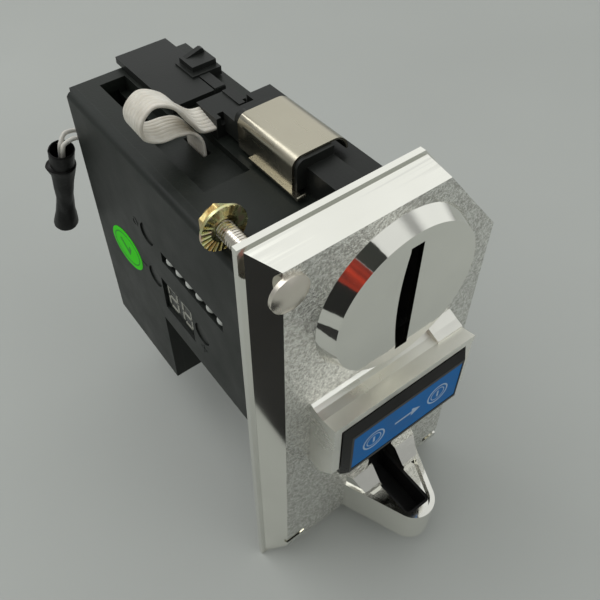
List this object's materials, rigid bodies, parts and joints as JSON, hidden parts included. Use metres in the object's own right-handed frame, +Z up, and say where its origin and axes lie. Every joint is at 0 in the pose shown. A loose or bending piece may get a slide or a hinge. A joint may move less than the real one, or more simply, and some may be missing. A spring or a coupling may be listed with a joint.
{
  "type": "coin acceptor",
  "caption": "Front-mounted coin and token acceptor: chromed panel with round entry slot, reject button and return cup, on a black validating body.",
  "frame": {"origin": "centre of the front panel's back plane, where the panel lies on the cabinet", "axes": "+X to the right seen from the front, +Y into the cabinet, +Z up"},
  "size_m": [0.0698, 0.1277, 0.1273],
  "materials": {
    "chrome_textured": "bright plating over a fine cast grain, smooth walls",
    "chrome_polished": "bright plating, polished",
    "bolt_steel": "nickel plated",
    "yellow_zinc": "yellow zinc plated steel",
    "button_black": "semi-gloss",
    "label_blue": "printed film under clear lacquer",
    "spring_steel": "spring wire",
    "cam_white": "moulded",
    "liner_black": "moulded",
    "body_black": "moulded, fine texture",
    "cover_black": "moulded, fine texture",
    "display_black": "smooth",
    "segment_white": "translucent, unlit",
    "lamp_white": "diffuse lens",
    "key_black": "moulded",
    "switch_black": "moulded",
    "board_green": "solder mask",
    "chip_black": "moulded",
    "rail_steel": "brushed",
    "coil_copper": "enamelled copper winding",
    "sensor_black": "lens",
    "frame_steel": "zinc plated",
    "pin_steel": "ground",
    "gate_black": "moulded",
    "clip_nickel": "nickel plated, satin to bright",
    "ribbon_white": "soft PVC",
    "socket_white": "nylon",
    "lead_white": "soft PVC",
    "sleeve_black": "heat-shrink sleeve",
    "funnel_black": "moulded",
    "screw_zinc": "zinc plated",
    "sticker_green": "printed film"
  },
  "bodies": {
    "housing": {"front_panel": "chrome_textured", "coin_entry_boss": "chrome_polished", "button_hood": "chrome_polished", "return_cup": "chrome_polished", "cup_liner": "liner_black", "mounting_bolt": "bolt_steel", "flange_nut": "yellow_zinc", "button_springs": "spring_steel", "entry_guide": "liner_black", "main_body": "body_black", "side_cover": "cover_black", "display_module": "display_black", "display_segments": "segment_white", "indicator_lamps": "lamp_white", "button_switches": "switch_black", "control_board": "board_green", "board_chips": "chip_black", "coin_rail": "rail_steel", "fixed_coil": "coil_copper", "sensor_pair": "sensor_black", "solenoid_frame": "frame_steel", "solenoid_coil": "coil_copper", "hinge_pin": "pin_steel", "pivot_block": "gate_black", "spring_clip": "clip_nickel", "cable_block": "gate_black", "ribbon_cable": "ribbon_white", "lead_socket": "socket_white", "lead_wires": "lead_white", "lead_sleeve": "sleeve_black", "reject_funnel": "funnel_black", "body_screws": "screw_zinc", "panel_screws": "screw_zinc", "qc_sticker": "sticker_green"},
    "reject_push": {"reject_button": "button_black", "button_label": "label_blue", "button_cam": "cam_white"},
    "gate": {"swing_gate": "gate_black", "gate_coil": "coil_copper"},
    "latch": {"sample_latch": "gate_black"},
    "key_a": {"setup_button_a": "key_black"},
    "key_b": {"setup_button_b": "key_black"},
    "key_c": {"setup_button_c": "key_black"},
    "pin": {"accept_pin": "pin_steel"}
  },
  "joints": [
    {"name": "reject_button_push", "type": "slide", "parent": "housing", "child": "reject_push", "axis": [0, 1, 0], "range_m": [0, 0.0034], "stiffness_N_per_m": 150, "springref_m": -0.002, "deforming": ["button_springs"]},
    {"name": "gate_swing", "type": "hinge", "parent": "housing", "child": "gate", "pos_m": [-0.00025, 0.028, 0.0506], "axis": [0, -1, 0], "range_deg": [0, 3.2]},
    {"name": "latch_slide", "type": "slide", "parent": "housing", "child": "latch", "axis": [0, 1, 0], "range_m": [0, 0.006]},
    {"name": "key_a_press", "type": "slide", "parent": "housing", "child": "key_a", "axis": [1, 0, 0], "range_m": [0, 0.0005], "stiffness_N_per_m": 800, "springref_m": -0.0005},
    {"name": "key_b_press", "type": "slide", "parent": "housing", "child": "key_b", "axis": [1, 0, 0], "range_m": [0, 0.0005], "stiffness_N_per_m": 800, "springref_m": -0.0005},
    {"name": "key_c_press", "type": "slide", "parent": "housing", "child": "key_c", "axis": [1, 0, 0], "range_m": [0, 0.0005], "stiffness_N_per_m": 800, "springref_m": -0.0005},
    {"name": "accept_pin_pull", "type": "slide", "parent": "housing", "child": "pin", "axis": [-1, 0, 0], "range_m": [0, 0.0045], "stiffness_N_per_m": 60, "springref_m": -0.002}
  ],
  "couplings": [
    {"joint": "gate_swing", "follows": "reject_button_push", "rad_per_m": 16}
  ]
}
